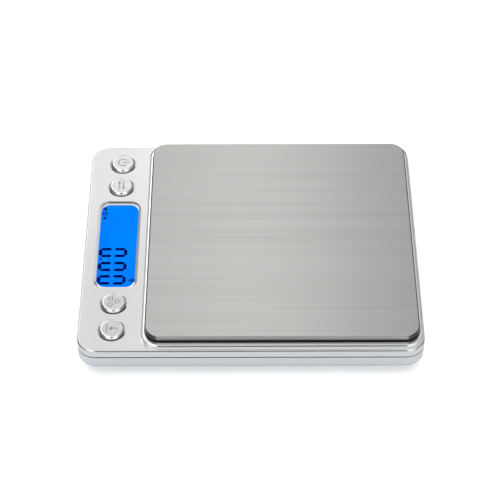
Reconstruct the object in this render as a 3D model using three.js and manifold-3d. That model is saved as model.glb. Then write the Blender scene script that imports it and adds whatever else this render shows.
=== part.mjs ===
// A pocket digital gram scale: a two-shell housing with a display panel at its left end, a framed well
// with a pressed steel weighing pan at its right, a bending-beam load cell, and a bay for two AAA cells.
// Millimetres, +Z up. X runs along the length, from the display end to the pan end. Y runs from front to back.
// The origin is on the table, under the middle of the housing.

import * as THREE from "three";
import { mergeVertices } from "three/addons/utils/BufferGeometryUtils.js";
import Module from "manifold-3d";

const wasm = await Module();
wasm.setup();

// ---------------------------------------------------------------- driving dimensions

const LENGTH = 127;
const DEPTH = 106;
const CORNER_RADIUS = 7;
const WALL = 1.6;

// Heights above the table, from the underside up.
const BASE_Z = 1.2;
const FLOOR_Z = 2.7;
const LOWER_TOP_Z = 10.65;
const UPPER_BOTTOM_Z = 11.05;
const DECK_Z = 14.3;
const FRAME_Z = 16.3;
const RIM_Z = 16.9;
const PAN_TOP_Z = 19;

// The housing's underside leans in under the side walls, so that the body looks thin from above.
const UNDERCUT_RADIUS = 2.5;
const UNDERCUT_START_Z = 6.7;
const UNDERCUT_ANGLE = THREE.MathUtils.degToRad(55);
const UNDERCUT_BASE_RADIUS = 4.5;
const INNER_SLOPE = { bottomInset: 6.5, bottomRadius: 3, topZ: 6.13 };

// The pan sits in a shallow well with a raised frame round it.
const PAN = { x: 11.4, half: 50, radius: 5.4, sheet: 0.5, edge: 0.8 };
const WELL = { half: 50.65, radius: 6.05, underside: 13.4, undersideRadius: 4 };
const FRAME = { halfX: 51.45, halfY: 52.3, radius: 6.4, chamfer: 0.4 };

const DISPLAY_X = -50.9;
const WINDOW = { halfX: 8.3, halfY: 22.6, radius: 4.2, viewX: 7.2, viewY: 21.3, viewRadius: 3.4, depth: 0.9 };
const LENS = { halfX: 8.9, halfY: 23.2, radius: 1.8, thickness: 1, clearance: 0.2 };

const BUTTONS = [
  { name: "power", y: 43 },
  { name: "unit", y: 30.2 },
  { name: "count", y: -30.2 },
  { name: "tare", y: -43 },
];
const BUTTON_RADIUS = 4.7;
const BUTTON_HOLE_RADIUS = 5;
const BUTTON_TOP_Z = 15.5;
const BUTTON_FOOT_Z = 11.5;
const BUTTON_EDGE = 0.9;
const BUTTON_FLANGE = { radius: 5.6, thickness: 0.9 };

const PCB = { halfX: 9.1, halfY: 47.4, radius: 1.5, bottom: 6.3, top: 7.9 };
const BACKLIGHT = { halfX: 7.4, halfY: 23, top: 10.1 };
const CONNECTOR = { dx: 8.3, halfX: 0.65, halfY: 22 };
const LCD = { halfX: 9.1, halfY: 23.4, top: 12.2 };
const SWITCH_TOP_Z = 10.5;

const CELL = { radius: 5.2, length: 43.3, nub: 1.2, nubRadius: 1.8, z: 8.05, xs: [-30, -18.6] };
const BAY = { x: -24.3, halfX: 11.4, halfY: 25.4, top: 13.3, wall: 1.3 };
const COVER = { x: -24.3, halfX: 13.9, halfY: 30.85, radius: 2, thickness: 1.3, gap: 0.15 };
const COVER_PAD = { margin: 1.6, ledgeZ: 2.6, topZ: 3.9 };
const TONGUE = { xs: [-32, -16.6], halfX: 2, thickness: 1.4, setBack: 0.25, reach: 2.1, topZ: 5.2 };
const LATCH = { halfX: 3, thickness: 1, setBack: 0.25, reach: 0.75, topZ: 4.9 };
const SLOT_CLEARANCE = 0.4;
const HOOK_GAP = 0.2;

const BEAM = { x: 11.4, width: 12, length: 47, bottom: 5.2, top: 11.2, holeYs: [12, 20] };
const BEAM_SPACER = 1.2;
const SUPPORT = { half: 49.3, skirt: 1.3, skirtBottom: 14.95, bottom: 16.8, top: 18 };
const BOSS = { halfX: 11, halfY: 7, y: -16 };

const FEET = [
  { name: "front_left", x: -50, y: -40 },
  { name: "front_right", x: 50, y: -40 },
  { name: "back_left", x: -50, y: 40 },
  { name: "back_right", x: 50, y: 40 },
];
const CASE_SCREWS = [
  { name: "front_left", x: -36, y: -42 },
  { name: "front_right", x: 40, y: -42 },
  { name: "back_left", x: -36, y: 42 },
  { name: "back_right", x: 40, y: 42 },
];
const PCB_POSTS_Y = 36.6;
const PCB_SCREW_X = -43.9;
const PCB_REST_X = -58.2;

const CORNER_STEPS = 3; // a quarter round gets twice as many flats
const GLUE_GAP = 0.05;

// ---------------------------------------------------------------- shapes and solids

function roundedRect(halfX, halfY, radius, x = 0, y = 0) {
  const dx = halfX - radius;
  const dy = halfY - radius;
  const shape = new THREE.Shape();
  shape.absarc(x + dx, y + dy, radius, 0, Math.PI / 2);
  shape.absarc(x - dx, y + dy, radius, Math.PI / 2, Math.PI);
  shape.absarc(x - dx, y - dy, radius, Math.PI, 1.5 * Math.PI);
  shape.absarc(x + dx, y - dy, radius, 1.5 * Math.PI, 2 * Math.PI);
  shape.closePath();
  return shape;
}

// The points of one rounded rectangle, once round, anticlockwise from above.
function outline(section) {
  const { halfX, halfY, radius, x = 0, y = 0 } = section;
  const points = roundedRect(halfX, halfY, radius, x, y).getPoints(CORNER_STEPS);
  if (points.at(-1).distanceTo(points[0]) < 1e-6) points.pop();
  return points;
}

// A closed solid through rounded rectangles at rising heights.
function loft(sections) {
  const rings = sections.map(outline);
  const count = rings[0].length;
  const position = rings.flatMap((ring, level) => ring.flatMap((p) => [p.x, p.y, sections[level].z]));
  const index = [];
  for (let level = 0; level < rings.length - 1; level++) {
    for (let i = 0; i < count; i++) {
      const a = level * count + i;
      const b = level * count + ((i + 1) % count);
      index.push(a, b, b + count, a, b + count, a + count);
    }
  }
  const last = (rings.length - 1) * count;
  for (const [a, b, c] of THREE.ShapeUtils.triangulateShape(rings[0], [])) index.push(c, b, a);
  for (const [a, b, c] of THREE.ShapeUtils.triangulateShape(rings.at(-1), [])) {
    index.push(last + a, last + b, last + c);
  }
  const geometry = new THREE.BufferGeometry();
  geometry.setAttribute("position", new THREE.Float32BufferAttribute(position, 3));
  geometry.setIndex(index);
  return solid(geometry);
}

function solid(geometry) {
  const bare = geometry.index ? geometry.toNonIndexed() : geometry.clone();
  for (const name of Object.keys(bare.attributes)) {
    if (name !== "position") bare.deleteAttribute(name);
  }
  const merged = mergeVertices(bare, 1e-4);
  return new wasm.Manifold(
    new wasm.Mesh({
      numProp: 3,
      vertProperties: merged.attributes.position.array,
      triVerts: new Uint32Array(merged.index.array),
    }),
  );
}

function geometryOf(manifold) {
  const { vertProperties, triVerts } = manifold.getMesh();
  const geometry = new THREE.BufferGeometry();
  geometry.setAttribute("position", new THREE.BufferAttribute(vertProperties, 3));
  geometry.setIndex(new THREE.BufferAttribute(triVerts, 1));
  geometry.computeVertexNormals();
  return geometry;
}

const join = (first, ...others) => others.reduce((whole, piece) => whole.add(piece), first);
const cut = (first, ...tools) => tools.reduce((rest, tool) => rest.subtract(tool), first);

function prism(shape, z0, z1, curveSegments = CORNER_STEPS) {
  const geometry = new THREE.ExtrudeGeometry(shape, { depth: z1 - z0, bevelEnabled: false, curveSegments });
  return solid(geometry.translate(0, 0, z0));
}

function box(x0, x1, y0, y1, z0, z1) {
  const geometry = new THREE.BoxGeometry(x1 - x0, y1 - y0, z1 - z0);
  return solid(geometry.translate((x0 + x1) / 2, (y0 + y1) / 2, (z0 + z1) / 2));
}

const boxAt = (x, y, halfX, halfY, z0, z1) => box(x - halfX, x + halfX, y - halfY, y + halfY, z0, z1);

function post(x, y, radius, z0, z1, sides = 12) {
  const geometry = new THREE.CylinderGeometry(radius, radius, z1 - z0, sides).rotateX(Math.PI / 2);
  return solid(geometry.translate(x, y, (z0 + z1) / 2));
}

// A turned piece: the profile is [radius, height] pairs from the axis at the bottom to the axis at the top.
function turned(profile, sides = 16) {
  const points = profile.map(([radius, height]) => new THREE.Vector2(radius, height));
  return solid(new THREE.LatheGeometry(points, sides).rotateX(Math.PI / 2));
}

function tube(points, radius, sides = 8, steps = 20) {
  const circle = new THREE.Shape().absarc(0, 0, radius, 0, 2 * Math.PI);
  const extrudePath = new THREE.CatmullRomCurve3(points.map((p) => new THREE.Vector3(...p)));
  return solid(new THREE.ExtrudeGeometry(circle, { extrudePath, steps, curveSegments: sides / 2 }));
}

// ---------------------------------------------------------------- materials

function material(color, roughness, metalness = 0, extra = {}) {
  return new THREE.MeshStandardMaterial({ color, roughness, metalness, ...extra });
}

const MATERIALS = {
  casing: material(0xdcdcdb, 0.38, 0.15),
  steel: material(0xb4b3b0, 0.35, 1),
  chrome: material(0xe6e6e6, 0.08, 1),
  blackPlastic: material(0x151515, 0.55),
  lens: material(0xe8f2ff, 0.04, 0, { transparent: true, opacity: 0.25 }),
  display: material(0x0a7dff, 0.3, 0, { emissive: 0x0a6cf0 }),
  lightGuide: material(0xf2f5f7, 0.4),
  rubber: material(0x2b2b2c, 0.85),
  aluminium: material(0xb9bbbe, 0.42, 1),
  silicone: material(0xeeeeea, 0.6),
  board: material(0x1f6b3a, 0.5),
  nickel: material(0xc9c7bf, 0.25, 1),
  zincScrew: material(0x9fa2a6, 0.35, 1),
  cellJacket: material(0x2f3a44, 0.35),
  tape: material(0xf4f1e6, 0.8),
  redWire: material(0xb3201c, 0.45),
  blackWire: material(0x1a1a1a, 0.45),
  greyCable: material(0x8b8d90, 0.5),
};

// ---------------------------------------------------------------- housing shells

// The outside of the housing at a given distance in from its widest outline.
function housingSection(z, inset, radius = CORNER_RADIUS - inset) {
  return { z, halfX: LENGTH / 2 - inset, halfY: DEPTH / 2 - inset, radius };
}

function undercutSections() {
  const arcEnd = UNDERCUT_START_Z - UNDERCUT_RADIUS * Math.sin(UNDERCUT_ANGLE);
  const arcInset = UNDERCUT_RADIUS * (1 - Math.cos(UNDERCUT_ANGLE));
  const baseInset = arcInset + (arcEnd - BASE_Z) * Math.tan(UNDERCUT_ANGLE);
  const sections = [housingSection(BASE_Z, baseInset, UNDERCUT_BASE_RADIUS)];
  const steps = 4;
  for (let i = steps; i >= 0; i--) {
    const angle = (UNDERCUT_ANGLE * i) / steps;
    const inset = UNDERCUT_RADIUS * (1 - Math.cos(angle));
    sections.push(housingSection(UNDERCUT_START_Z - UNDERCUT_RADIUS * Math.sin(angle), inset));
  }
  return sections;
}

const LIP_INSET = 0.9;
const LIP_BOTTOM_Z = 9;
const LIP_TOP_Z = 11.9;
const LIP_CLEARANCE = 0.15;
const EDGE_ROUND = 0.25;
const BOSS_RADIUS = 3.5;
const BOSS_TOP_Z = 6.3;
const SCREW_SEAT_Z = 3.2;
const SCREW_HEAD_RADIUS = 2.5;
const SCREW_HEAD_HEIGHT = 1.5;
const SCREW_RADIUS = 1.25;
const FOOT_RADIUS = 4.4;
const FOOT_POCKET_Z = 1.8;
const BEAM_SCREW = { radius: 1.45, headRadius: 2.7, headHeight: 1.4, hole: 1.6, headHole: 3.1 };
const PEDESTAL_TOP_Z = BEAM.bottom - BEAM_SPACER;
const PEDESTAL_SEAT_Z = 2.8;
const STOP = { y: -20, bossRadius: 4, bossTop: 4.2, hole: 1.6, radius: 1.45, tip: 4.75 };

function lowerShell() {
  const outside = loft([
    ...undercutSections(),
    housingSection(LOWER_TOP_Z - EDGE_ROUND, 0),
    housingSection(LOWER_TOP_Z, EDGE_ROUND),
  ]);
  const lip = loft([housingSection(LIP_BOTTOM_Z, LIP_INSET), housingSection(LIP_TOP_Z, LIP_INSET)]);
  const hollow = loft([
    housingSection(FLOOR_Z, INNER_SLOPE.bottomInset, INNER_SLOPE.bottomRadius),
    housingSection(INNER_SLOPE.topZ, WALL),
    housingSection(DECK_Z, WALL),
  ]);
  return cut(join(outside, lip), hollow);
}

function batteryBayWalls() {
  const walls = boxAt(BAY.x, 0, BAY.halfX + BAY.wall, BAY.halfY + BAY.wall, BASE_Z, BAY.top);
  const { margin, topZ } = COVER_PAD;
  const pad = boxAt(COVER.x, 0, COVER.halfX + margin, COVER.halfY + margin, BASE_Z, topZ);
  return join(walls, pad);
}

const THUMB_SCOOP = { halfX: 6, halfY: 3, radius: 2.9, depth: 0.8 };
const LEAD_NOTCH = { halfX: 1.3, bottom: 11.2, top: 13.2 };

function batteryBayCuts() {
  const inside = boxAt(BAY.x, 0, BAY.halfX, BAY.halfY, 0, BAY.top + 1);
  const reachX = COVER.halfX + COVER.gap;
  const reachY = COVER.halfY + COVER.gap;
  const recess = prism(roundedRect(reachX, reachY, COVER.radius, COVER.x, 0), 0, COVER_PAD.ledgeZ);
  const slotTop = COVER_PAD.topZ + 0.5;
  const tongueHalf = TONGUE.halfX + SLOT_CLEARANCE;
  const tongueSlots = TONGUE.xs.map((x) => box(x - tongueHalf, x + tongueHalf, -reachY, -BAY.halfY, 1, slotTop));
  const latchHalf = LATCH.halfX + SLOT_CLEARANCE;
  const latchSlot = box(COVER.x - latchHalf, COVER.x + latchHalf, BAY.halfY, reachY, 1, slotTop);
  const notchY = BAY.halfY + BAY.wall / 2;
  const leadNotches = CELL.xs.map((x) =>
    boxAt(x, notchY, LEAD_NOTCH.halfX, BAY.wall / 2 + 0.1, LEAD_NOTCH.bottom, LEAD_NOTCH.top),
  );
  const scoop = THUMB_SCOOP;
  const scoopShape = roundedRect(scoop.halfX, scoop.halfY, scoop.radius, COVER.x, COVER.halfY + 2);
  const thumbScoop = prism(scoopShape, 0, BASE_Z + scoop.depth);
  return [inside, recess, ...tongueSlots, latchSlot, ...leadNotches, thumbScoop];
}

const FLOOR_RIBS = { x: 39, halfX: 15, ys: [-30, -10, 10, 30], halfThickness: 0.5, height: 2 };

function floorRibs() {
  const { x, halfX, ys, halfThickness, height } = FLOOR_RIBS;
  const bottom = BASE_Z + 0.5;
  const top = FLOOR_Z + height;
  const ribs = ys.map((y) => boxAt(x, y, halfX, halfThickness, bottom, top));
  const spine = box(x - halfThickness, x + halfThickness, ys[0], ys.at(-1), bottom, top);
  return [...ribs, spine];
}

function makeLowerCase() {
  const bosses = CASE_SCREWS.map(({ x, y }) => post(x, y, BOSS_RADIUS, BASE_Z + 0.5, BOSS_TOP_Z, 16));
  const [nearHole, farHole] = BEAM.holeYs;
  const pedestal = box(BEAM.x - 7, BEAM.x + 7, nearHole - 3.5, farHole + 4.5, BASE_Z, PEDESTAL_TOP_Z);
  const stopBoss = post(BEAM.x, STOP.y, STOP.bossRadius, BASE_Z, STOP.bossTop, 16);
  const solids = join(lowerShell(), batteryBayWalls(), pedestal, stopBoss, ...bosses, ...floorRibs());

  const screwHoles = CASE_SCREWS.flatMap(({ x, y }) => [
    post(x, y, SCREW_HEAD_RADIUS + 0.3, 0, SCREW_SEAT_Z, 16),
    post(x, y, SCREW_RADIUS + 0.2, 0, BOSS_TOP_Z + 1),
  ]);
  const beamHoles = BEAM.holeYs.flatMap((y) => [
    post(BEAM.x, y, BEAM_SCREW.headHole, 0, PEDESTAL_SEAT_Z, 16),
    post(BEAM.x, y, BEAM_SCREW.hole, 0, PEDESTAL_TOP_Z + 1),
  ]);
  const footPockets = FEET.map(({ x, y }) => post(x, y, FOOT_RADIUS + 0.2, 0, FOOT_POCKET_Z, 20));
  const stopHole = post(BEAM.x, STOP.y, STOP.hole, 0, STOP.bossTop + 1);
  return cut(solids, ...batteryBayCuts(), ...screwHoles, ...beamHoles, ...footPockets, stopHole);
}

const UPPER_POST_BOTTOM_Z = 6.5;
const CEILING_Z = DECK_Z - WALL;

function upperShell() {
  const body = loft([
    housingSection(UPPER_BOTTOM_Z, EDGE_ROUND),
    housingSection(UPPER_BOTTOM_Z + EDGE_ROUND, 0),
    housingSection(DECK_Z - 0.45, 0.15),
    housingSection(DECK_Z - 0.13, 0.28),
    housingSection(DECK_Z, 0.6),
  ]);
  const frameSection = (z, inset) => ({
    z,
    x: PAN.x,
    halfX: FRAME.halfX - inset,
    halfY: FRAME.halfY - inset,
    radius: FRAME.radius - inset,
  });
  const frame = loft([
    frameSection(DECK_Z - 0.5, 0),
    frameSection(FRAME_Z - FRAME.chamfer, 0),
    frameSection(FRAME_Z, FRAME.chamfer),
  ]);
  const well = prism(roundedRect(WELL.half, WELL.half, WELL.radius, PAN.x, 0), DECK_Z, FRAME_Z + 1);
  const hollow = loft([housingSection(5, WALL), housingSection(CEILING_Z, WALL)]);
  const underHalf = WELL.half - WALL;
  const underShape = roundedRect(underHalf, underHalf, WELL.undersideRadius, PAN.x, 0);
  const underWell = prism(underShape, CEILING_Z - 1, WELL.underside);
  const lipGroove = loft([
    housingSection(UPPER_BOTTOM_Z - 1, LIP_INSET - LIP_CLEARANCE),
    housingSection(LIP_TOP_Z + LIP_CLEARANCE, LIP_INSET - LIP_CLEARANCE),
  ]);
  return cut(join(body, frame), well, hollow, underWell, lipGroove);
}

function windowCuts() {
  const { halfX, halfY, radius, viewX, viewY, viewRadius, depth } = WINDOW;
  const bevelled = loft([
    { z: DECK_Z - depth - 0.5, x: DISPLAY_X, halfX: viewX, halfY: viewY, radius: viewRadius },
    { z: DECK_Z - depth, x: DISPLAY_X, halfX: viewX, halfY: viewY, radius: viewRadius },
    { z: DECK_Z, x: DISPLAY_X, halfX, halfY, radius },
    { z: DECK_Z + 1, x: DISPLAY_X, halfX, halfY, radius },
  ]);
  const { halfX: lensX, halfY: lensY, radius: lensRadius, clearance } = LENS;
  const pocket = roundedRect(lensX + clearance, lensY + clearance, lensRadius + clearance, DISPLAY_X, 0);
  const lensPocket = prism(pocket, CEILING_Z - 0.5, DECK_Z - depth);
  return [bevelled, lensPocket];
}

const UPPER_POST_RADIUS = 3;
const PCB_POST_RADIUS = 1.9;
const PCB_REST_RADIUS = 1.6;
const PCB_SCREW = { radius: 0.9, headRadius: 1.8, headHeight: 1.1, tip: 11.9 };
const CASE_SCREW_TIP_Z = 12.4;

function makeUpperCase() {
  const screwPosts = CASE_SCREWS.map(({ x, y }) =>
    post(x, y, UPPER_POST_RADIUS, UPPER_POST_BOTTOM_Z, DECK_Z - 0.4, 16),
  );
  const pcbPosts = [-PCB_POSTS_Y, PCB_POSTS_Y].flatMap((y) => [
    post(PCB_SCREW_X, y, PCB_POST_RADIUS, PCB.top, DECK_Z - 1),
    post(PCB_REST_X, y, PCB_REST_RADIUS, PCB.top, DECK_Z - 1),
  ]);
  const solids = join(upperShell(), ...screwPosts, ...pcbPosts);

  const pilots = CASE_SCREWS.map(({ x, y }) =>
    post(x, y, SCREW_RADIUS + 0.05, UPPER_POST_BOTTOM_Z - 1, CASE_SCREW_TIP_Z + 0.2),
  );
  const pcbPilots = [-PCB_POSTS_Y, PCB_POSTS_Y].map((y) =>
    post(PCB_SCREW_X, y, PCB_SCREW.radius + 0.05, PCB.top - 1, PCB_SCREW.tip + 0.3, 12),
  );
  const buttonHoles = BUTTONS.map(({ y }) => post(DISPLAY_X, y, BUTTON_HOLE_RADIUS, CEILING_Z - 1, DECK_Z + 1, 32));
  const beamOpening = prism(
    roundedRect(BOSS.halfX + 2, BOSS.halfY + 2, 2, BEAM.x, BOSS.y),
    CEILING_Z - 1,
    DECK_Z + 1,
  );
  return cut(solids, ...windowCuts(), ...pilots, ...pcbPilots, ...buttonHoles, beamOpening);
}

const COVER_SLITS = { dxs: [-5, 5], halfWidth: 0.3, length: 9 };
const COVER_GRIPS = { fromEdge: [2.5, 4, 5.5], halfX: 3.5, halfY: 0.35, depth: 0.3 };

function makeBatteryCover() {
  const top = BASE_Z + COVER.thickness;
  const hookBottom = COVER_PAD.topZ + HOOK_GAP;
  const plate = prism(roundedRect(COVER.halfX, COVER.halfY, COVER.radius, COVER.x, 0), BASE_Z, top);

  const frontInner = -COVER.halfY + TONGUE.setBack + TONGUE.thickness;
  const tongues = TONGUE.xs.flatMap((x) => [
    box(x - TONGUE.halfX, x + TONGUE.halfX, frontInner - TONGUE.thickness, frontInner, top - 0.4, TONGUE.topZ),
    box(x - TONGUE.halfX, x + TONGUE.halfX, -COVER.halfY - TONGUE.reach, frontInner, hookBottom, TONGUE.topZ),
  ]);

  const [latchLeft, latchRight] = [COVER.x - LATCH.halfX, COVER.x + LATCH.halfX];
  const backInner = COVER.halfY - LATCH.setBack - LATCH.thickness;
  const latch = [
    box(latchLeft, latchRight, backInner, backInner + LATCH.thickness, top - 0.4, LATCH.topZ),
    box(latchLeft, latchRight, backInner, COVER.halfY + LATCH.reach, hookBottom, LATCH.topZ),
  ];

  const slitY = COVER.halfY - COVER_SLITS.length / 2;
  const slits = COVER_SLITS.dxs.map((dx) =>
    boxAt(COVER.x + dx, slitY + 0.5, COVER_SLITS.halfWidth, COVER_SLITS.length / 2 + 0.5, 0, 4),
  );
  const grips = COVER_GRIPS.fromEdge.map((distance) =>
    boxAt(COVER.x, COVER.halfY - distance, COVER_GRIPS.halfX, COVER_GRIPS.halfY, 1, BASE_Z + COVER_GRIPS.depth),
  );
  return cut(join(plate, ...tongues, ...latch), ...slits, ...grips);
}

const makeFoot = ({ x, y }) =>
  turned([
    [0, 0],
    [FOOT_RADIUS - 0.5, 0],
    [FOOT_RADIUS, 0.4],
    [FOOT_RADIUS, FOOT_POCKET_Z - GLUE_GAP],
    [0, FOOT_POCKET_Z - GLUE_GAP],
  ], 20).translate([x, y, 0]);

// A pan-head screw with its tip up. The head's underside is at seatZ.
const screwTipUp = (x, y, seatZ, tipZ, radius, headRadius, headHeight) =>
  turned([
    [0, seatZ - headHeight],
    [headRadius * 0.7, seatZ - headHeight],
    [headRadius, seatZ - headHeight * 0.45],
    [headRadius, seatZ],
    [radius, seatZ],
    [radius, tipZ - radius],
    [0, tipZ],
  ], 12).translate([x, y, 0]);

const makeCaseScrew = ({ x, y }) =>
  screwTipUp(x, y, SCREW_SEAT_Z, CASE_SCREW_TIP_Z, SCREW_RADIUS, SCREW_HEAD_RADIUS, SCREW_HEAD_HEIGHT);

// ---------------------------------------------------------------- weighing platform and load cell

function makePan() {
  const section = (z, inset) => ({
    z,
    x: PAN.x,
    halfX: PAN.half - inset,
    halfY: PAN.half - inset,
    radius: PAN.radius - inset,
  });
  const rounded = (top, inset, edge) => [
    section(top - edge, inset),
    section(top - edge * 0.5, inset + edge * 0.134),
    section(top - edge * 0.134, inset + edge * 0.5),
    section(top, inset + edge),
  ];
  const outside = loft([section(RIM_Z, 0), ...rounded(PAN_TOP_Z, 0, PAN.edge)]);
  const insideTop = rounded(PAN_TOP_Z - PAN.sheet, PAN.sheet, PAN.edge - PAN.sheet);
  const inside = loft([section(RIM_Z - 1, PAN.sheet), ...insideTop]);
  return cut(outside, inside);
}

// A shallow upturned tray that fills the pan, with a boss that reaches down through the well to the load cell.
function makeSupport() {
  const { half, skirt, skirtBottom, bottom, top } = SUPPORT;
  const tray = prism(roundedRect(half, half, PAN.radius - 0.7, PAN.x, 0), skirtBottom, top);
  const inner = half - skirt;
  const hollow = prism(roundedRect(inner, inner, PAN.radius - 0.7 - skirt, PAN.x, 0), skirtBottom - 1, bottom);
  const boss = boxAt(BEAM.x, BOSS.y, BOSS.halfX, BOSS.halfY, BEAM.top + BEAM_SPACER + GLUE_GAP, top);
  const ribs = [
    boxAt(PAN.x, BOSS.y, inner + 0.5, 0.6, skirtBottom + 0.3, bottom + 0.5),
    boxAt(PAN.x - 30, 0, 0.6, inner + 0.5, skirtBottom + 0.3, bottom + 0.5),
    boxAt(PAN.x + 30, 0, 0.6, inner + 0.5, skirtBottom + 0.3, bottom + 0.5),
  ];
  const screwHoles = BEAM.holeYs.flatMap((y) => [
    post(BEAM.x, -y, BEAM_SCREW.hole, 10, 19),
    post(BEAM.x, -y, BEAM_SCREW.headHole, FREE_SCREW_SEAT_Z, 19, 16),
  ]);
  return cut(join(cut(tray, hollow), boss, ...ribs), ...screwHoles);
}

const FREE_SCREW_SEAT_Z = 16.1;
const TAPE_HALF_X = 5;
const TAPE_HALF_Y = 18;

const makeTape = (dx) =>
  boxAt(PAN.x + dx, 0, TAPE_HALF_X, TAPE_HALF_Y, SUPPORT.top + GLUE_GAP, PAN_TOP_Z - PAN.sheet - GLUE_GAP);

function makeLoadCell() {
  const middleZ = (BEAM.bottom + BEAM.top) / 2;
  const beam = boxAt(BEAM.x, 0, BEAM.width / 2, BEAM.length / 2, BEAM.bottom, BEAM.top);
  const eyes = [-5.5, 5.5].map((y) =>
    solid(new THREE.CylinderGeometry(2.2, 2.2, 20, 16).rotateZ(Math.PI / 2).translate(BEAM.x, y, middleZ)),
  );
  const slot = boxAt(BEAM.x, 0, 10, 5, middleZ - 0.7, middleZ + 0.7);
  const holes = BEAM.holeYs.flatMap((y) => [-y, y]).map((y) => post(BEAM.x, y, BEAM_SCREW.hole, 4, 13));
  return cut(beam, ...eyes, slot, ...holes);
}

const makeBaseSpacer = () => makeBeamSpacer(1, PEDESTAL_TOP_Z);
const makeTopSpacer = () => makeBeamSpacer(-1, BEAM.top);

// The plate that sets one end of the beam off its neighbour: side 1 is the fixed end and side -1 the free end.
function makeBeamSpacer(side, bottom) {
  const [nearHole, farHole] = BEAM.holeYs;
  const middle = (side * (nearHole + farHole)) / 2;
  const plate = boxAt(BEAM.x, middle, BEAM.width / 2, 7, bottom + GLUE_GAP, bottom + BEAM_SPACER - GLUE_GAP);
  return cut(plate, ...BEAM.holeYs.map((y) => post(BEAM.x, side * y, BEAM_SCREW.hole, bottom - 1, bottom + 3)));
}

// A soft dome of sealant over the strain gauges on one face of the beam.
function makeGaugeCoating(side) {
  const face = side > 0 ? BEAM.top : BEAM.bottom;
  const section = (rise, inset) => ({
    z: face + side * rise,
    x: BEAM.x,
    halfX: 4.6 - inset,
    halfY: 7.6 - inset,
    radius: 2.4 - inset,
  });
  const rising = [section(GLUE_GAP, 0), section(0.45, 0.1), section(0.8, 0.8)];
  return loft(side > 0 ? rising : rising.reverse());
}

const makeFixedScrew = (y) =>
  screwTipUp(BEAM.x, y, PEDESTAL_SEAT_Z, 10.6, BEAM_SCREW.radius, BEAM_SCREW.headRadius, BEAM_SCREW.headHeight);

// The free end's screws go in from above: the same screw, turned over about the X axis.
function makeFreeScrew(y) {
  const tipUp = screwTipUp(0, 0, 0, 10.2, BEAM_SCREW.radius, BEAM_SCREW.headRadius, BEAM_SCREW.headHeight);
  return tipUp.rotate([180, 0, 0]).translate([BEAM.x, -y, FREE_SCREW_SEAT_Z + 0.02]);
}

const makeStopScrew = () =>
  turned([
    [0, 1.5],
    [STOP.radius, 1.5],
    [STOP.radius, STOP.tip - 0.5],
    [STOP.radius - 0.5, STOP.tip],
    [0, STOP.tip],
  ], 12).translate([BEAM.x, STOP.y, 0]);

// ---------------------------------------------------------------- display, buttons and circuit board

const makeLens = () => {
  const top = DECK_Z - WINDOW.depth - GLUE_GAP;
  return prism(roundedRect(LENS.halfX, LENS.halfY, LENS.radius, DISPLAY_X, 0), top - LENS.thickness, top);
};

const makeLcd = () => boxAt(DISPLAY_X, 0, LCD.halfX, LCD.halfY, BACKLIGHT.top + GLUE_GAP, LCD.top);
const makeBacklight = () =>
  boxAt(DISPLAY_X, 0, BACKLIGHT.halfX, BACKLIGHT.halfY, PCB.top + GLUE_GAP, BACKLIGHT.top);
const makeConnectorStrip = (side) =>
  boxAt(
    DISPLAY_X + side * CONNECTOR.dx,
    0,
    CONNECTOR.halfX,
    CONNECTOR.halfY,
    PCB.top + GLUE_GAP,
    BACKLIGHT.top,
  );

function makeBoard() {
  const board = prism(roundedRect(PCB.halfX, PCB.halfY, PCB.radius, DISPLAY_X, 0), PCB.bottom, PCB.top - GLUE_GAP);
  const holeRadius = PCB_SCREW.radius + 0.2;
  const holes = [-PCB_POSTS_Y, PCB_POSTS_Y].map((y) =>
    post(PCB_SCREW_X, y, holeRadius, PCB.bottom - 1, PCB.top + 1, 12),
  );
  return cut(board, ...holes);
}

// A round key with a domed edge, and a flange below the deck that keeps it in.
function makeButton({ y }) {
  const foot = BUTTON_FOOT_Z + GLUE_GAP;
  const shoulder = BUTTON_FOOT_Z + BUTTON_FLANGE.thickness;
  const edge = [0, 30, 60, 90].map((degrees) => {
    const turn = THREE.MathUtils.degToRad(degrees);
    const inset = BUTTON_EDGE * (1 - Math.cos(turn));
    return [BUTTON_RADIUS - inset, BUTTON_TOP_Z - BUTTON_EDGE * (1 - Math.sin(turn))];
  });
  const profile = [
    [0, foot],
    [BUTTON_FLANGE.radius, foot],
    [BUTTON_FLANGE.radius, shoulder],
    [BUTTON_RADIUS, shoulder],
    ...edge,
    [0, BUTTON_TOP_Z],
  ];
  return turned(profile, 28).translate([DISPLAY_X, y, 0]);
}

const PLUNGER_RADIUS = 1.7;
const PLUNGER_POCKET_Z = SWITCH_TOP_Z - 0.9;

const makePlunger = ({ y }) => post(DISPLAY_X, y, PLUNGER_RADIUS, SWITCH_TOP_Z - 0.5, BUTTON_FOOT_Z);

function makeSwitch({ y }) {
  const body = boxAt(DISPLAY_X, y, 3, 3, PCB.top + GLUE_GAP, SWITCH_TOP_Z);
  return cut(body, post(DISPLAY_X, y, PLUNGER_RADIUS + 0.1, PLUNGER_POCKET_Z, SWITCH_TOP_Z + 1));
}

function makePcbScrew(y) {
  const { tip, radius, headRadius, headHeight } = PCB_SCREW;
  return screwTipUp(PCB_SCREW_X, y, PCB.bottom, tip, radius, headRadius, headHeight);
}

const CONTROLLER_Y = 8;
const CRYSTAL = { y: -12, halfX: 2.3, halfY: 5.4, radius: 2.2 };
const CAPACITOR = { y: 20.5, radius: 2 };
const TALL_PARTS_BOTTOM_Z = 3.4;

const makeController = () =>
  turned([
    [0, 5],
    [2.5, 5.15],
    [4.3, 5.7],
    [5, PCB.bottom - GLUE_GAP],
    [0, PCB.bottom - GLUE_GAP],
  ]).translate([DISPLAY_X, CONTROLLER_Y, 0]);

const makeCrystal = () => {
  const can = roundedRect(CRYSTAL.halfX, CRYSTAL.halfY, CRYSTAL.radius, DISPLAY_X, CRYSTAL.y);
  return prism(can, TALL_PARTS_BOTTOM_Z, PCB.bottom - GLUE_GAP);
};

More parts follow.
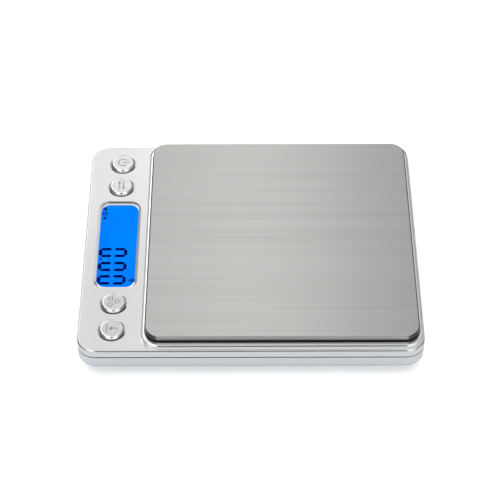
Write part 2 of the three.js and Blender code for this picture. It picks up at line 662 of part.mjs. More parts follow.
const makeCapacitor = () =>
  post(DISPLAY_X, CAPACITOR.y, CAPACITOR.radius, TALL_PARTS_BOTTOM_Z, PCB.bottom - GLUE_GAP);

// ---------------------------------------------------------------- cells and their contacts

// A cell lies along Y, and facing 1 puts its positive end at the back.
function makeCell(x, facing) {
  const { radius, length, nub, nubRadius, z } = CELL;
  const profile = [
    [0, 0],
    [radius - 0.4, 0],
    [radius, 0.4],
    [radius, length - 0.5],
    [radius - 0.5, length],
    [nubRadius, length],
    [nubRadius, length + nub - 0.2],
    [nubRadius - 0.3, length + nub],
    [0, length + nub],
  ];
  const tipY = BAY.halfY - CONTACT_PLATE - 0.2;
  const start = tipY - length - nub;
  const alongY = turned(profile, 20).rotate([-90, 0, 0]);
  return alongY.rotate([0, 0, facing > 0 ? 0 : 180]).translate([x, facing * start, z]);
}

const CONTACT_PLATE = 0.4;
const CONTACT_BOTTOM_Z = 4.3;
const CONTACT_TOP_Z = 12.8;

function makeContact(x, halfX, side) {
  const wallFace = side * (BAY.halfY - 0.05);
  const plateFace = wallFace - side * CONTACT_PLATE;
  const [y0, y1] = [wallFace, plateFace].sort((a, b) => a - b);
  return box(x - halfX, x + halfX, y0, y1, CONTACT_BOTTOM_Z, CONTACT_TOP_Z);
}

// A conical coil spring between a contact plate and a cell's flat end.
function makeContactSpring(x, side) {
  const wire = 0.3;
  const plateY = BAY.halfY - 0.05 - CONTACT_PLATE - wire - 0.05;
  const cellY = CELL.length + CELL.nub - (BAY.halfY - CONTACT_PLATE - 0.2) + wire + 0.05;
  const turns = 3;
  const stepsPerTurn = 10;
  const steps = turns * stepsPerTurn;
  const points = [];
  for (let i = 0; i <= steps; i++) {
    const share = i / steps;
    const angle = 2 * Math.PI * turns * share;
    const radius = THREE.MathUtils.lerp(3.6, 2.3, share);
    const y = side * THREE.MathUtils.lerp(plateY, cellY, share);
    points.push([x + radius * Math.cos(angle), y, CELL.z + radius * Math.sin(angle)]);
  }
  return tube(points, wire, 6, steps);
}

const LEAD_RADIUS = 0.55;
const CABLE_RADIUS = 0.85;
const LEAD_TOP_Z = PCB.bottom - 0.3;

const makePositiveLead = () =>
  tube([
    [-30, 25.6, 12.2],
    [-30, 28.4, 12],
    [-32.5, 30.4, 9.8],
    [-37.5, 31, 6.4],
    [-42, 30.8, 4.5],
    [-44.6, 30, 4.7],
    [-45, 29.8, LEAD_TOP_Z],
  ], LEAD_RADIUS, 6, 18);

const makeNegativeLead = () =>
  tube([
    [-18.6, 25.6, 12.2],
    [-18.6, 28.6, 12],
    [-22, 31.4, 11],
    [-29.5, 33.2, 8.4],
    [-37.5, 34, 6],
    [-42, 34, 4.5],
    [-44.6, 33.4, 4.7],
    [-45, 33.2, LEAD_TOP_Z],
  ], LEAD_RADIUS, 6, 20);

const makeLoadCellCable = () =>
  tube([
    [4.9, 0, 8.6],
    [2.6, -1.5, 8.2],
    [-1.5, -8, 6.6],
    [-4.8, -20, 5.2],
    [-8.5, -31, 4.9],
    [-17, -36, 4.9],
    [-29, -36.2, 4.9],
    [-39.5, -35.2, 4.7],
    [-44, -32.4, 4.1],
    [-45.2, -30.8, 4.7],
    [-45.3, -30.4, LEAD_TOP_Z],
  ], CABLE_RADIUS, 8, 30);

// ---------------------------------------------------------------- assembly

const scale = new THREE.Group();

function addNode(name, manifold, look) {
  const mesh = new THREE.Mesh(geometryOf(manifold), look);
  mesh.name = name;
  scale.add(mesh);
}

const M = MATERIALS;

addNode("lower_case", makeLowerCase(), M.casing);
addNode("upper_case", makeUpperCase(), M.casing);
addNode("battery_cover", makeBatteryCover(), M.casing);
for (const foot of FEET) addNode(`foot_${foot.name}`, makeFoot(foot), M.rubber);
for (const screw of CASE_SCREWS) addNode(`case_screw_${screw.name}`, makeCaseScrew(screw), M.zincScrew);

addNode("weighing_pan", makePan(), M.steel);
addNode("pan_support", makeSupport(), M.blackPlastic);
addNode("pan_tape_left", makeTape(-18), M.tape);
addNode("pan_tape_right", makeTape(18), M.tape);

addNode("load_cell", makeLoadCell(), M.aluminium);
addNode("load_cell_base_spacer", makeBaseSpacer(), M.aluminium);
addNode("load_cell_top_spacer", makeTopSpacer(), M.aluminium);
addNode("gauge_coating_top", makeGaugeCoating(1), M.silicone);
addNode("gauge_coating_bottom", makeGaugeCoating(-1), M.silicone);
BEAM.holeYs.forEach((y, i) => {
  addNode(`load_cell_fixed_screw_${i + 1}`, makeFixedScrew(y), M.zincScrew);
  addNode(`load_cell_free_screw_${i + 1}`, makeFreeScrew(y), M.zincScrew);
});
addNode("overload_stop_screw", makeStopScrew(), M.zincScrew);
addNode("load_cell_cable", makeLoadCellCable(), M.greyCable);

addNode("window_lens", makeLens(), M.lens);
addNode("lcd_panel", makeLcd(), M.display);
addNode("lcd_backlight", makeBacklight(), M.lightGuide);
addNode("lcd_connector_left", makeConnectorStrip(-1), M.blackPlastic);
addNode("lcd_connector_right", makeConnectorStrip(1), M.blackPlastic);
addNode("circuit_board", makeBoard(), M.board);
addNode("controller_chip", makeController(), M.blackPlastic);
addNode("crystal", makeCrystal(), M.nickel);
addNode("filter_capacitor", makeCapacitor(), M.aluminium);
addNode("board_screw_front", makePcbScrew(-PCB_POSTS_Y), M.zincScrew);
addNode("board_screw_back", makePcbScrew(PCB_POSTS_Y), M.zincScrew);

for (const button of BUTTONS) {
  addNode(`${button.name}_button`, makeButton(button), M.chrome);
  addNode(`${button.name}_switch_plunger`, makePlunger(button), M.blackPlastic);
  addNode(`${button.name}_switch`, makeSwitch(button), M.nickel);
}

addNode("cell_left", makeCell(CELL.xs[0], 1), M.cellJacket);
addNode("cell_right", makeCell(CELL.xs[1], -1), M.cellJacket);
addNode("contact_bridge", makeContact(BAY.x, 10.4, -1), M.nickel);
addNode("contact_positive", makeContact(CELL.xs[0], 4.2, 1), M.nickel);
addNode("contact_negative", makeContact(CELL.xs[1], 4.2, 1), M.nickel);
addNode("contact_spring_bridge", makeContactSpring(CELL.xs[0], -1), M.nickel);
addNode("contact_spring_negative", makeContactSpring(CELL.xs[1], 1), M.nickel);
addNode("battery_lead_positive", makePositiveLead(), M.redWire);
addNode("battery_lead_negative", makeNegativeLead(), M.blackWire);

export default scale;
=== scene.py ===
"""Looks for a pocket digital gram scale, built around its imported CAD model. Metres, in the CAD's frame."""

from math import cos, pi, radians, sin, tan

import bpy
from mathutils import Matrix, Vector


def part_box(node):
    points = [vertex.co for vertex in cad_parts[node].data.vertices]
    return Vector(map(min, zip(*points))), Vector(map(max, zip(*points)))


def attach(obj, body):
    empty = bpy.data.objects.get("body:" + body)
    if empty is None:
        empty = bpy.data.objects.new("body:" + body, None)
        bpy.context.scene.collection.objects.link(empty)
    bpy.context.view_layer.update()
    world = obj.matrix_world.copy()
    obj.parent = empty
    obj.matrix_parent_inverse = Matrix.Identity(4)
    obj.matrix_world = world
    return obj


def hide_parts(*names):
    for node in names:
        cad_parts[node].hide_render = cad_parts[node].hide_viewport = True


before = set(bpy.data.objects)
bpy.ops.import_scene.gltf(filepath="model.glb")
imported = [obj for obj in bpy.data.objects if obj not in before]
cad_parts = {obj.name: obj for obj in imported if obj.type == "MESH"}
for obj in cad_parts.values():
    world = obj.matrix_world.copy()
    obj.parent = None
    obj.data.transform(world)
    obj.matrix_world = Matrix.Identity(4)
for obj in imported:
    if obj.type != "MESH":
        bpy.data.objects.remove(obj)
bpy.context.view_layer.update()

MM = 0.001
CORNER_STEPS = 14

# ---------------------------------------------------------------- where things are, in millimetres


def cad_mm(node):
    """Lowest and highest corner of a CAD node, in millimetres."""
    low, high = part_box(node)
    return low / MM, high / MM


case_high = cad_mm("upper_case")[1]
base_low = cad_mm("lower_case")[0]
pan_low, pan_high = cad_mm("weighing_pan")
lens_low, lens_high = cad_mm("window_lens")
lcd_low, lcd_high = cad_mm("lcd_panel")
cover_low, cover_high = cad_mm("battery_cover")

HALF_X = case_high.x
HALF_Y = case_high.y
CORNER = 7.0
WALL = 1.6

FRAME_Z = case_high.z
DECK_Z = FRAME_Z - 2.0
PARTING_LOW_Z = 10.4
PARTING_HIGH_Z = 10.9
BASE_Z = base_low.z
FLOOR_Z = BASE_Z + 1.5

PAN_X = (pan_low.x + pan_high.x) / 2
PAN_HALF = pan_high.y
RIM_Z = pan_low.z
PAN_TOP_Z = pan_high.z

DISPLAY_X = (lcd_low.x + lcd_high.x) / 2
KEYS = ("power", "unit", "count", "tare")
KEY_RADIUS = 4.75
KEY_HOLE_RADIUS = 5.05
KEY_FLANGE_RADIUS = 5.4
KEY_FLANGE = 0.85
KEY_TOP_Z = cad_mm("power_button")[1].z
CASE_CORNERS = ("front_left", "front_right", "back_left", "back_right")


def middle(node):
    """Middle of a CAD node seen from above, in millimetres."""
    low, high = cad_mm(node)
    return (low.x + high.x) / 2, (low.y + high.y) / 2


# ---------------------------------------------------------------- mesh making


def add_mesh(name, points_mm, faces):
    mesh = bpy.data.meshes.new(name)
    mesh.from_pydata([Vector(p) * MM for p in points_mm], [], faces)
    mesh.validate()
    piece = bpy.data.objects.new(name, mesh)
    bpy.context.scene.collection.objects.link(piece)
    return piece


def arc_points(x, y, radius, start, stop, steps):
    """Points on an arc about (x, y), with both ends."""
    angles = [start + (stop - start) * i / steps for i in range(steps + 1)]
    return [(x + radius * cos(a), y + radius * sin(a)) for a in angles]


def rounded_rect(half_x, half_y, radius, x=0.0, y=0.0, steps=CORNER_STEPS):
    """A rounded rectangle's points, anticlockwise from above."""
    dx, dy = half_x - radius, half_y - radius
    corners = ((x + dx, y + dy), (x - dx, y + dy), (x - dx, y - dy), (x + dx, y - dy))
    points = []
    for quarter, (cx, cy) in enumerate(corners):
        points += arc_points(cx, cy, radius, quarter * pi / 2, (quarter + 1) * pi / 2, steps)
    return points


def skin(name, rings):
    """A closed solid through rings of (x, y, z) points, each ring anticlockwise from above and rising."""
    count = len(rings[0])
    faces = []
    for level in range(len(rings) - 1):
        low = level * count
        for i in range(count):
            j = (i + 1) % count
            faces.append((low + i, low + j, low + count + j, low + count + i))
    faces.append(tuple(reversed(range(count))))
    faces.append(tuple(range((len(rings) - 1) * count, len(rings) * count)))
    return add_mesh(name, [p for ring in rings for p in ring], faces)


def loft(name, sections, x=0.0, y=0.0, steps=CORNER_STEPS):
    """A solid through (z, half_x, half_y, radius) rounded rectangles."""
    rings = []
    for z, half_x, half_y, radius in sections:
        rings.append([(px, py, z) for px, py in rounded_rect(half_x, half_y, radius, x, y, steps)])
    return skin(name, rings)


def turn(name, profile, x=0.0, y=0.0, steps=48):
    """A solid turned about the vertical through (x, y). The profile is (radius, z), from the bottom up."""
    rings = []
    for radius, z in profile:
        angles = [2 * pi * i / steps for i in range(steps)]
        rings.append([(x + radius * cos(a), y + radius * sin(a), z) for a in angles])
    return skin(name, rings)


def block(name, x0, x1, y0, y1, z0, z1):
    """A square-edged solid, used for cutting and for plain inner edges."""
    ring = [(x1, y1), (x0, y1), (x0, y0), (x1, y0)]
    return skin(name, [[(px, py, z) for px, py in ring] for z in (z0, z1)])


def combine(piece, others, operation):
    """Joins pieces to, or cuts them from, the first piece, and removes them."""
    for other in others:
        step = piece.modifiers.new("step", "BOOLEAN")
        step.operation = operation
        step.solver = "EXACT"
        step.object = other
        bpy.context.view_layer.update()
        shape = bpy.data.meshes.new_from_object(piece.evaluated_get(bpy.context.evaluated_depsgraph_get()))
        piece.modifiers.remove(step)
        piece.data = shape
        bpy.data.objects.remove(other)
    return piece


def cut(piece, *tools):
    return combine(piece, tools, "DIFFERENCE")


def join(piece, *others):
    return combine(piece, others, "UNION")


def fillet(radius, steps=5):
    """(inset, rise) pairs round a quarter circle, from the vertical wall up to the flat top."""
    turns = [pi / 2 * i / steps for i in range(steps + 1)]
    return [(radius * (1 - cos(a)), radius * sin(a)) for a in turns]


def rounded_top(z_top, half_x, half_y, corner, edge, steps=5):
    """Loft sections for a wall that rounds over into a flat top."""
    return [
        (z_top - edge + rise, half_x - inset, half_y - inset, corner - inset)
        for inset, rise in fillet(edge, steps)
    ]


def settle(piece, body, material, slot, *nodes, sharp=32):
    """Shades a finished piece and gives it its material, its body and the CAD nodes that it replaces."""
    mesh = piece.data
    mesh.shade_smooth()
    mesh.set_sharp_from_angle(angle=radians(sharp))
    weights = piece.modifiers.new("weighted_normals", "WEIGHTED_NORMAL")
    weights.keep_sharp = True
    mesh.materials.clear()
    mesh.materials.append(material)
    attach(piece, body)
    if nodes:
        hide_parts(*nodes)
    return piece


# ---------------------------------------------------------------- material making


class Look:
    """A procedural material on one Principled shader."""

    def __init__(self, name, color, roughness, metallic=0.0):
        self.material = bpy.data.materials.new(name)
        self.material.use_nodes = True
        self.nodes = self.material.node_tree.nodes
        self.shader = self.nodes["Principled BSDF"]
        self.shader.inputs["Base Color"].default_value = (*color, 1)
        self.shader.inputs["Roughness"].default_value = roughness
        self.shader.inputs["Metallic"].default_value = metallic
        self.bump_height = None

    def add(self, kind, **settings):
        node = self.nodes.new(kind)
        for key, value in settings.items():
            setattr(node, key, value)
        return node

    def link(self, source, target):
        self.material.node_tree.links.new(source, target)

    def noise(self, scale, detail=3.0, roughness=0.5, stretch=(1, 1, 1)):
        """Noise in the object's own frame. The scale is in features per metre."""
        place = self.add("ShaderNodeTexCoord")
        mapping = self.add("ShaderNodeMapping")
        mapping.inputs["Scale"].default_value = stretch
        texture = self.add("ShaderNodeTexNoise")
        texture.inputs["Scale"].default_value = scale
        texture.inputs["Detail"].default_value = detail
        texture.inputs["Roughness"].default_value = roughness
        self.link(place.outputs["Object"], mapping.inputs["Vector"])
        self.link(mapping.outputs["Vector"], texture.inputs["Vector"])
        return texture.outputs["Fac"]

    def spread(self, value, low, high, out_low, out_high):
        """Maps a value from one range to another, clamped."""
        node = self.add("ShaderNodeMapRange")
        node.inputs["From Min"].default_value = low
        node.inputs["From Max"].default_value = high
        node.inputs["To Min"].default_value = out_low
        node.inputs["To Max"].default_value = out_high
        self.link(value, node.inputs["Value"])
        return node.outputs["Result"]

    def color_between(self, value, first, second, low=0.35, high=0.65):
        ramp = self.add("ShaderNodeValToRGB")
        ramp.color_ramp.elements[0].position = low
        ramp.color_ramp.elements[0].color = (*first, 1)
        ramp.color_ramp.elements[1].position = high
        ramp.color_ramp.elements[1].color = (*second, 1)
        self.link(value, ramp.inputs["Fac"])
        return ramp.outputs["Color"]

    def bump(self, value, distance, strength=1.0):
        node = self.add("ShaderNodeBump")
        node.inputs["Distance"].default_value = distance
        node.inputs["Strength"].default_value = strength
        self.link(value, node.inputs["Height"])
        if self.bump_height:
            self.link(self.bump_height, node.inputs["Normal"])
        self.bump_height = node.outputs["Normal"]
        self.link(self.bump_height, self.shader.inputs["Normal"])


def shade(color, factor):
    return tuple(min(1.0, c * factor) for c in color)


def silver_paint():
    look = Look("silver_paint", (0.86, 0.86, 0.86), 0.14, 0.93)
    flakes = look.noise(9000, 1.0)
    drift = look.noise(18, 2.0)
    color = look.color_between(flakes, (0.83, 0.83, 0.84), (0.90, 0.90, 0.895), 0.3, 0.7)
    look.link(color, look.shader.inputs["Base Color"])
    look.link(look.spread(drift, 0.3, 0.7, 0.13, 0.17), look.shader.inputs["Roughness"])
    look.bump(flakes, 0.000002, 0.3)
    return look.material


def painted_bend_shade(look):
    """Mask for painted shade: one on the rounded bends that face along X, nought on the flat top and on the
    upright sides.
    """
    place = look.add("ShaderNodeTexCoord")
    facing = look.add("ShaderNodeSeparateXYZ")
    look.link(place.outputs["Normal"], facing.inputs["Vector"])
    sideways = look.add("ShaderNodeMath", operation="ABSOLUTE")
    look.link(facing.outputs["X"], sideways.inputs[0])
    bend_shade_mask = look.add("ShaderNodeMath", operation="MULTIPLY")
    look.link(look.spread(sideways.outputs["Value"], 0.05, 0.3, 0.0, 1.0), bend_shade_mask.inputs[0])
    look.link(look.spread(sideways.outputs["Value"], 0.8, 0.97, 1.0, 0.0), bend_shade_mask.inputs[1])
    return bend_shade_mask.outputs["Value"]


def brushed_steel():
    """Steel brushed along X, with painted shade: its colour is darkened where its two ends are bent over."""
    look = Look("brushed_steel", (0.60, 0.595, 0.58), 0.3, 1.0)
    fine = look.noise(1.0, 4.0, 0.7, (14, 5200, 5200))
    coarse = look.noise(1.0, 3.0, 0.6, (5, 700, 700))
    tone = look.add("ShaderNodeMix", data_type="FLOAT")
    tone.inputs["Factor"].default_value = 0.45
    look.link(fine, tone.inputs["A"])
    look.link(coarse, tone.inputs["B"])
    streak = tone.outputs["Result"]
    color = look.color_between(streak, (0.55, 0.545, 0.53), (0.65, 0.645, 0.63), 0.3, 0.7)
    # Painted shade: the colour goes near black on the bent-over ends, standing in for their dark reflection.
    turned = look.add("ShaderNodeMix", data_type="RGBA")
    look.link(painted_bend_shade(look), turned.inputs["Factor"])
    look.link(color, turned.inputs["A"])
    turned.inputs["B"].default_value = (0.09, 0.09, 0.09, 1)
    look.link(turned.outputs["Result"], look.shader.inputs["Base Color"])
    look.link(look.spread(streak, 0.3, 0.7, 0.34, 0.27), look.shader.inputs["Roughness"])
    look.bump(fine, 0.00001, 0.3)
    look.shader.inputs["Anisotropic"].default_value = 0.9
    across = look.add("ShaderNodeVectorTransform", convert_from="OBJECT", convert_to="WORLD")
    across.vector_type = "VECTOR"
    across.inputs["Vector"].default_value = (0, 1, 0)
    look.link(across.outputs["Vector"], look.shader.inputs["Tangent"])
    return look.material


def plated(name, color=(0.86, 0.86, 0.86), roughness=0.07):
    look = Look(name, color, roughness, 1.0)
    haze = look.noise(500, 3.0)
    tone = look.color_between(haze, shade(color, 0.97), shade(color, 1.03))
    look.link(tone, look.shader.inputs["Base Color"])
    gloss = look.spread(haze, 0.3, 0.7, roughness * 0.8, roughness * 1.3)
    look.link(gloss, look.shader.inputs["Roughness"])
    return look.material


def grained(name, color, roughness, grain=2500, depth=0.00001, metallic=0.0):
    """Moulded plastic, rubber or cast metal: a fine even grain with a slight drift of tone."""
    look = Look(name, color, roughness, metallic)
    fine = look.noise(grain, 3.0)
    drift = look.noise(60, 2.0)
    tone = look.color_between(drift, shade(color, 0.92), shade(color, 1.08))
    look.link(tone, look.shader.inputs["Base Color"])
    gloss = look.spread(fine, 0.3, 0.7, roughness * 0.85, roughness * 1.12)
    look.link(gloss, look.shader.inputs["Roughness"])
    look.bump(fine, depth, 0.6)
    return look.material


def clear_lens():
    look = Look("clear_lens", (1, 1, 1), 0.0)
    smudge = look.noise(120, 2.0)
    look.link(look.spread(smudge, 0.3, 0.7, 0.0, 0.03), look.shader.inputs["Roughness"])
    look.shader.inputs["Transmission Weight"].default_value = 1.0
    look.shader.inputs["IOR"].default_value = 1.05
    return look.material


def lit_display():
    """A backlit blue panel, a little uneven as edge lighting is."""
    look = Look("lit_display", (0.0, 0.004, 0.02), 0.5)
    look.shader.inputs["Specular IOR Level"].default_value = 0.0
    drift = look.noise(55, 1.0)
    glow = look.color_between(drift, (0.0, 0.19, 1.0), (0.0, 0.225, 1.0), 0.3, 0.7)
    look.link(glow, look.shader.inputs["Emission Color"])
    look.shader.inputs["Emission Strength"].default_value = 1.05
    return look.material


def dark_segment():
    look = Look("dark_segment", (0.0, 0.0, 0.01), 0.5)
    look.shader.inputs["Specular IOR Level"].default_value = 0.0
    drift = look.noise(400, 1.0)
    glow = look.color_between(drift, (0.0, 0.0, 0.07), (0.0, 0.002, 0.09))
    look.link(glow, look.shader.inputs["Emission Color"])
    look.shader.inputs["Emission Strength"].default_value = 1.0
    return look.material


SILVER = silver_paint()
STEEL = brushed_steel()
CHROME = plated("bright_plating", (0.95, 0.95, 0.95))
NICKEL = plated("nickel_plating", (0.72, 0.69, 0.62), 0.22)
ZINC = plated("zinc_plating", (0.62, 0.63, 0.66), 0.3)
LENS = clear_lens()
DISPLAY = lit_display()
SEGMENT = dark_segment()
BLACK = grained("black_plastic", (0.02, 0.02, 0.021), 0.5)
RUBBER = grained("foot_rubber", (0.035, 0.035, 0.036), 0.8, 1400, 0.00003)
ALUMINIUM = grained("milled_aluminium", (0.66, 0.67, 0.69), 0.38, 3000, 0.000006, 1.0)
SILICONE = grained("white_silicone", (0.82, 0.82, 0.8), 0.5, 300, 0.0001)
BOARD = grained("green_board", (0.02, 0.14, 0.05), 0.35, 900, 0.00001)
GUIDE = grained("light_guide", (0.85, 0.88, 0.92), 0.3)
TAPE = grained("foam_tape", (0.8, 0.78, 0.7), 0.85, 1800, 0.00005)
RED = grained("red_wire", (0.5, 0.02, 0.015), 0.4)
GREY = grained("grey_cable", (0.25, 0.26, 0.27), 0.45)
SLEEVE = grained("cell_sleeve", (0.03, 0.07, 0.16), 0.25, 400, 0.000004)
ICON_INK = grained("key_mark", (0.2, 0.2, 0.205), 0.45, 3000, 0.000004)

# ---------------------------------------------------------------- camera


CAMERA_PLACE = (-0.0007, -0.43195, 0.4847)
CAMERA_DOWN = 47.67
CAMERA_HEADING = -0.063
CAMERA_ROLL = -0.09


def add_camera():
    """A long lens that looks down at the scale from in front, turned by the angles above, in degrees."""
    data = bpy.data.cameras.new("camera")
    data.lens = 120.0
    data.sensor_width = 36.0
    data.clip_start = 0.01
    camera = bpy.data.objects.new("camera", data)
    camera.location = CAMERA_PLACE
    tilt = Matrix.Rotation(radians(90 - CAMERA_DOWN), 4, "X")
    heading = Matrix.Rotation(radians(CAMERA_HEADING), 4, "Z")
    roll = Matrix.Rotation(radians(CAMERA_ROLL), 4, "Z")
    camera.rotation_euler = (heading @ tilt @ roll).to_euler()
    bpy.context.scene.collection.objects.link(camera)
    bpy.context.scene.camera = camera


add_camera()

# ---------------------------------------------------------------- case

FRAME_HALF_X = 51.45
FRAME_HALF_Y = 52.3
FRAME_CORNER = 6.4
# The frame's outer slope is this many times wider along X than along Y.
FRAME_END_SLOPE = 1.6
WELL_HALF_X = 50.35
WELL_HALF_Y = 50.65
WELL_CORNER = 6.05
WELL_EDGE = 0.04
WELL_UNDERSIDE_Z = 13.4
# Each profile is (inset, drop) pairs, from the wall up to the flat top.
DECK_PROFILE = ((0, 0.58), (0.03, 0.5), (0.07, 0.44), (0.4, 0.11), (0.46, 0.07), (0.6, 0.02), (0.68, 0))
FRAME_PROFILE = ((0, 0.52), (0.03, 0.46), (0.06, 0.43), (0.42, 0.11), (0.47, 0.08), (0.7, 0.02), (0.76, 0))
SEAM_EDGE = 0.15

WINDOW_HALF_X = 8.3
WINDOW_HALF_Y = 22.6
WINDOW_CORNER = 4.2
WINDOW_EDGE = 0.1
VIEW_HALF_X = 7.2
VIEW_HALF_Y = 21.3
VIEW_CORNER = 3.4
VIEW_Z = lens_high.z + 0.05

KEY_HOLE_EDGE = 0.2
LIP_INSET = 0.9
LIP_TOP_Z = 11.9
LIP_CLEARANCE = 0.15
UNDER_WELL = (49.05, 49.05, 4)
BOSS_OPENING = (13, 9, 2)


def shell_section(z, inset, corner=None):
    return z, HALF_X - inset, HALF_Y - inset, CORNER - inset if corner is None else corner


def frame_section(z, inset):
    return z, FRAME_HALF_X - inset * FRAME_END_SLOPE, FRAME_HALF_Y - inset, FRAME_CORNER - inset


def view_section(z, end_step, side_step, corner_step):
    """The window's inner outline, stepped out by so much along X, along Y and at its corners."""
    return z, VIEW_HALF_X + end_step, VIEW_HALF_Y + side_step, VIEW_CORNER + corner_step


def window_section(z, reach):
    return z, WINDOW_HALF_X + reach, WINDOW_HALF_Y + reach, WINDOW_CORNER + reach


def window_cutter():
    """The display opening. Its short walls are steep, over a narrow ledge, and its long walls are sloped."""
    sections = [
        view_section(VIEW_Z - 1.0, 0, 0, 0),
        view_section(VIEW_Z, 0, 0, 0),
        view_section(VIEW_Z + 0.05, 0.02, 0.82, 0.05),
        view_section(DECK_Z - 0.64, 0.1, 0.925, 0.1),
        window_section(DECK_Z - WINDOW_EDGE, -WINDOW_EDGE),
        window_section(DECK_Z - WINDOW_EDGE * 0.3, -WINDOW_EDGE * 0.7),
        window_section(DECK_Z, 0),
        window_section(DECK_Z + 1, 0.3),
    ]
    return loft("window_cutter", sections, x=DISPLAY_X)


def key_hole_cutter(y):
    edge = KEY_HOLE_EDGE
    profile = [
        (KEY_HOLE_RADIUS, DECK_Z - 3),
        (KEY_HOLE_RADIUS, DECK_Z - edge),
        (KEY_HOLE_RADIUS + edge * 0.3, DECK_Z - edge * 0.3),
        (KEY_HOLE_RADIUS + edge, DECK_Z),
        (KEY_HOLE_RADIUS + edge, DECK_Z + 1),
    ]
    return turn("hole_cutter", profile, DISPLAY_X, y, 64)


def well_cutter():
    """The well the pan sits in, with a rounded brim."""
    sections = [(DECK_Z, WELL_HALF_X, WELL_HALF_Y, WELL_CORNER)]
    for inset, rise in fillet(WELL_EDGE, 3):
        z = FRAME_Z - WELL_EDGE + rise
        sections.append((z, WELL_HALF_X + inset, WELL_HALF_Y + inset, WELL_CORNER + inset))
    sections.append((FRAME_Z + 1, *sections[-1][1:]))
    return loft("well_cutter", sections, x=PAN_X)


def make_upper_case():
    """The deck, the raised frame round the pan's well, and the openings through them."""
    seam_top_z = PARTING_HIGH_Z + SEAM_EDGE
    wall = [shell_section(seam_top_z - rise, inset) for inset, rise in reversed(fillet(SEAM_EDGE))]
    deck = [shell_section(DECK_Z - drop, inset) for inset, drop in DECK_PROFILE]
    case = loft("upper_case_shell", wall + deck)
    frame_top = [frame_section(FRAME_Z - drop, inset) for inset, drop in FRAME_PROFILE]
    join(case, loft("pan_frame", [frame_section(DECK_Z - 1, 0)] + frame_top, x=PAN_X))
    hollow = loft("hollow", [shell_section(5, WALL), shell_section(DECK_Z - WALL, WALL)])
    under_well = loft("under_well", [(12, *UNDER_WELL), (WELL_UNDERSIDE_Z, *UNDER_WELL)], x=PAN_X)
    groove_inset = LIP_INSET - LIP_CLEARANCE
    groove_top_z = LIP_TOP_Z + LIP_CLEARANCE
    groove = loft("groove", [shell_section(9, groove_inset), shell_section(groove_top_z, groove_inset)])
    boss_x, boss_y = middle("load_cell_top_spacer")
    opening = loft("opening", [(DECK_Z - 3, *BOSS_OPENING), (FRAME_Z + 1, *BOSS_OPENING)], boss_x, boss_y)
    holes = [key_hole_cutter(middle(f"{key}_button")[1]) for key in KEYS]
    cut(case, hollow, under_well, groove, well_cutter(), opening, window_cutter(), *holes)
    settle(case, "housing", SILVER, "silver_casing", "upper_case", sharp=20)


UNDERCUT_RADIUS = 2.5
UNDERCUT_START_Z = 6.7
UNDERCUT_ANGLE = radians(55)


def undercut_sections():
    """The lower case's outside from its flat base up to where its wall is upright."""
    arc_end = UNDERCUT_START_Z - UNDERCUT_RADIUS * sin(UNDERCUT_ANGLE)
    arc_inset = UNDERCUT_RADIUS * (1 - cos(UNDERCUT_ANGLE))
    base_inset = arc_inset + (arc_end - BASE_Z) * tan(UNDERCUT_ANGLE)
    sections = [shell_section(BASE_Z, base_inset, 4.5), shell_section(BASE_Z + 0.4, base_inset - 0.6, 4.6)]
    steps = 8
    for i in range(steps, -1, -1):
        angle = UNDERCUT_ANGLE * i / steps
        inset = UNDERCUT_RADIUS * (1 - cos(angle))
        sections.append(shell_section(UNDERCUT_START_Z - UNDERCUT_RADIUS * sin(angle), inset))
    return sections


BAY_X = (cover_low.x + cover_high.x) / 2
BAY_HALF_X = 11.4
BAY_HALF_Y = 25.4
BAY_TOP_Z = 13.3
COVER_HALF_X = 13.9
COVER_HALF_Y = 30.85
COVER_TOP_Z = BASE_Z + 1.3
LEDGE_Z = BASE_Z + 1.4
PAD_TOP_Z = 3.9
TONGUE_XS = (-32, -16.6)
BAY_WALL = 1.3
PAD_REACH = 1.6
COVER_GAP = 0.15
COVER_CORNER = 2
SLOT_LOW_Z = 1
SLOT_TOP_Z = PAD_TOP_Z + 0.5
LATCH_SLOT_HALF = 3.4
TONGUE_SLOT_HALF = 2.4
HOLLOW_UPRIGHT_Z = 6.13


def around_bay(half_x, half_y):
    """The sides of a block about the middle of the battery bay."""
    return BAY_X - half_x, BAY_X + half_x, -half_y, half_y


def bay_cutters():
    """The battery bay, the recess for its cover, and the slots for the cover's latch and tongues."""
    reach_y = COVER_HALF_Y + COVER_GAP
    recess = (COVER_HALF_X + COVER_GAP, reach_y, COVER_CORNER)
    scoop = [(0, 6.4, 3.4, 3), (BASE_Z, 6, 3, 2.9), (BASE_Z + 0.8, 5.4, 2.4, 2.3)]
    latch_slot = (BAY_X - LATCH_SLOT_HALF, BAY_X + LATCH_SLOT_HALF, BAY_HALF_Y, reach_y)
    cutters = [
        block("inside", *around_bay(BAY_HALF_X, BAY_HALF_Y), 0, BAY_TOP_Z + 1),
        loft("recess", [(0, *recess), (LEDGE_Z, *recess)], x=BAY_X),
        block("latch_slot", *latch_slot, SLOT_LOW_Z, SLOT_TOP_Z),
        loft("thumb_scoop", scoop, BAY_X, COVER_HALF_Y + 2),
    ]
    for x in TONGUE_XS:
        sides = (x - TONGUE_SLOT_HALF, x + TONGUE_SLOT_HALF, -reach_y, -BAY_HALF_Y)
        cutters.append(block("tongue_slot", *sides, SLOT_LOW_Z, SLOT_TOP_Z))
    return cutters


def sunk_hole(name, node, mouth, radius, chamfer, top_z):
    """A hole up into the base under a CAD node, with a chamfered mouth."""
    profile = [(mouth, 0), (mouth, BASE_Z), (radius, BASE_Z + chamfer), (radius, top_z)]
    return turn(name, profile, *middle(node))


def base_hole_cutters():
    """The pockets for the feet and the wells for the screws, in the underside."""
    cutters = []
    for corner in CASE_CORNERS:
        cutters.append(sunk_hole("foot_pocket", f"foot_{corner}", 4.9, 4.6, 0.1, 1.8))
        cutters.append(sunk_hole("screw_well", f"case_screw_{corner}", 3.1, 2.8, 0.25, 3.2))
    for number in (1, 2):
        cutters.append(sunk_hole("screw_well", f"load_cell_fixed_screw_{number}", 3.4, 3.1, 0.25, 2.8))
    cutters.append(sunk_hole("stop_hole", "overload_stop_screw", 1.9, 1.6, 0.3, 6))
    return cutters


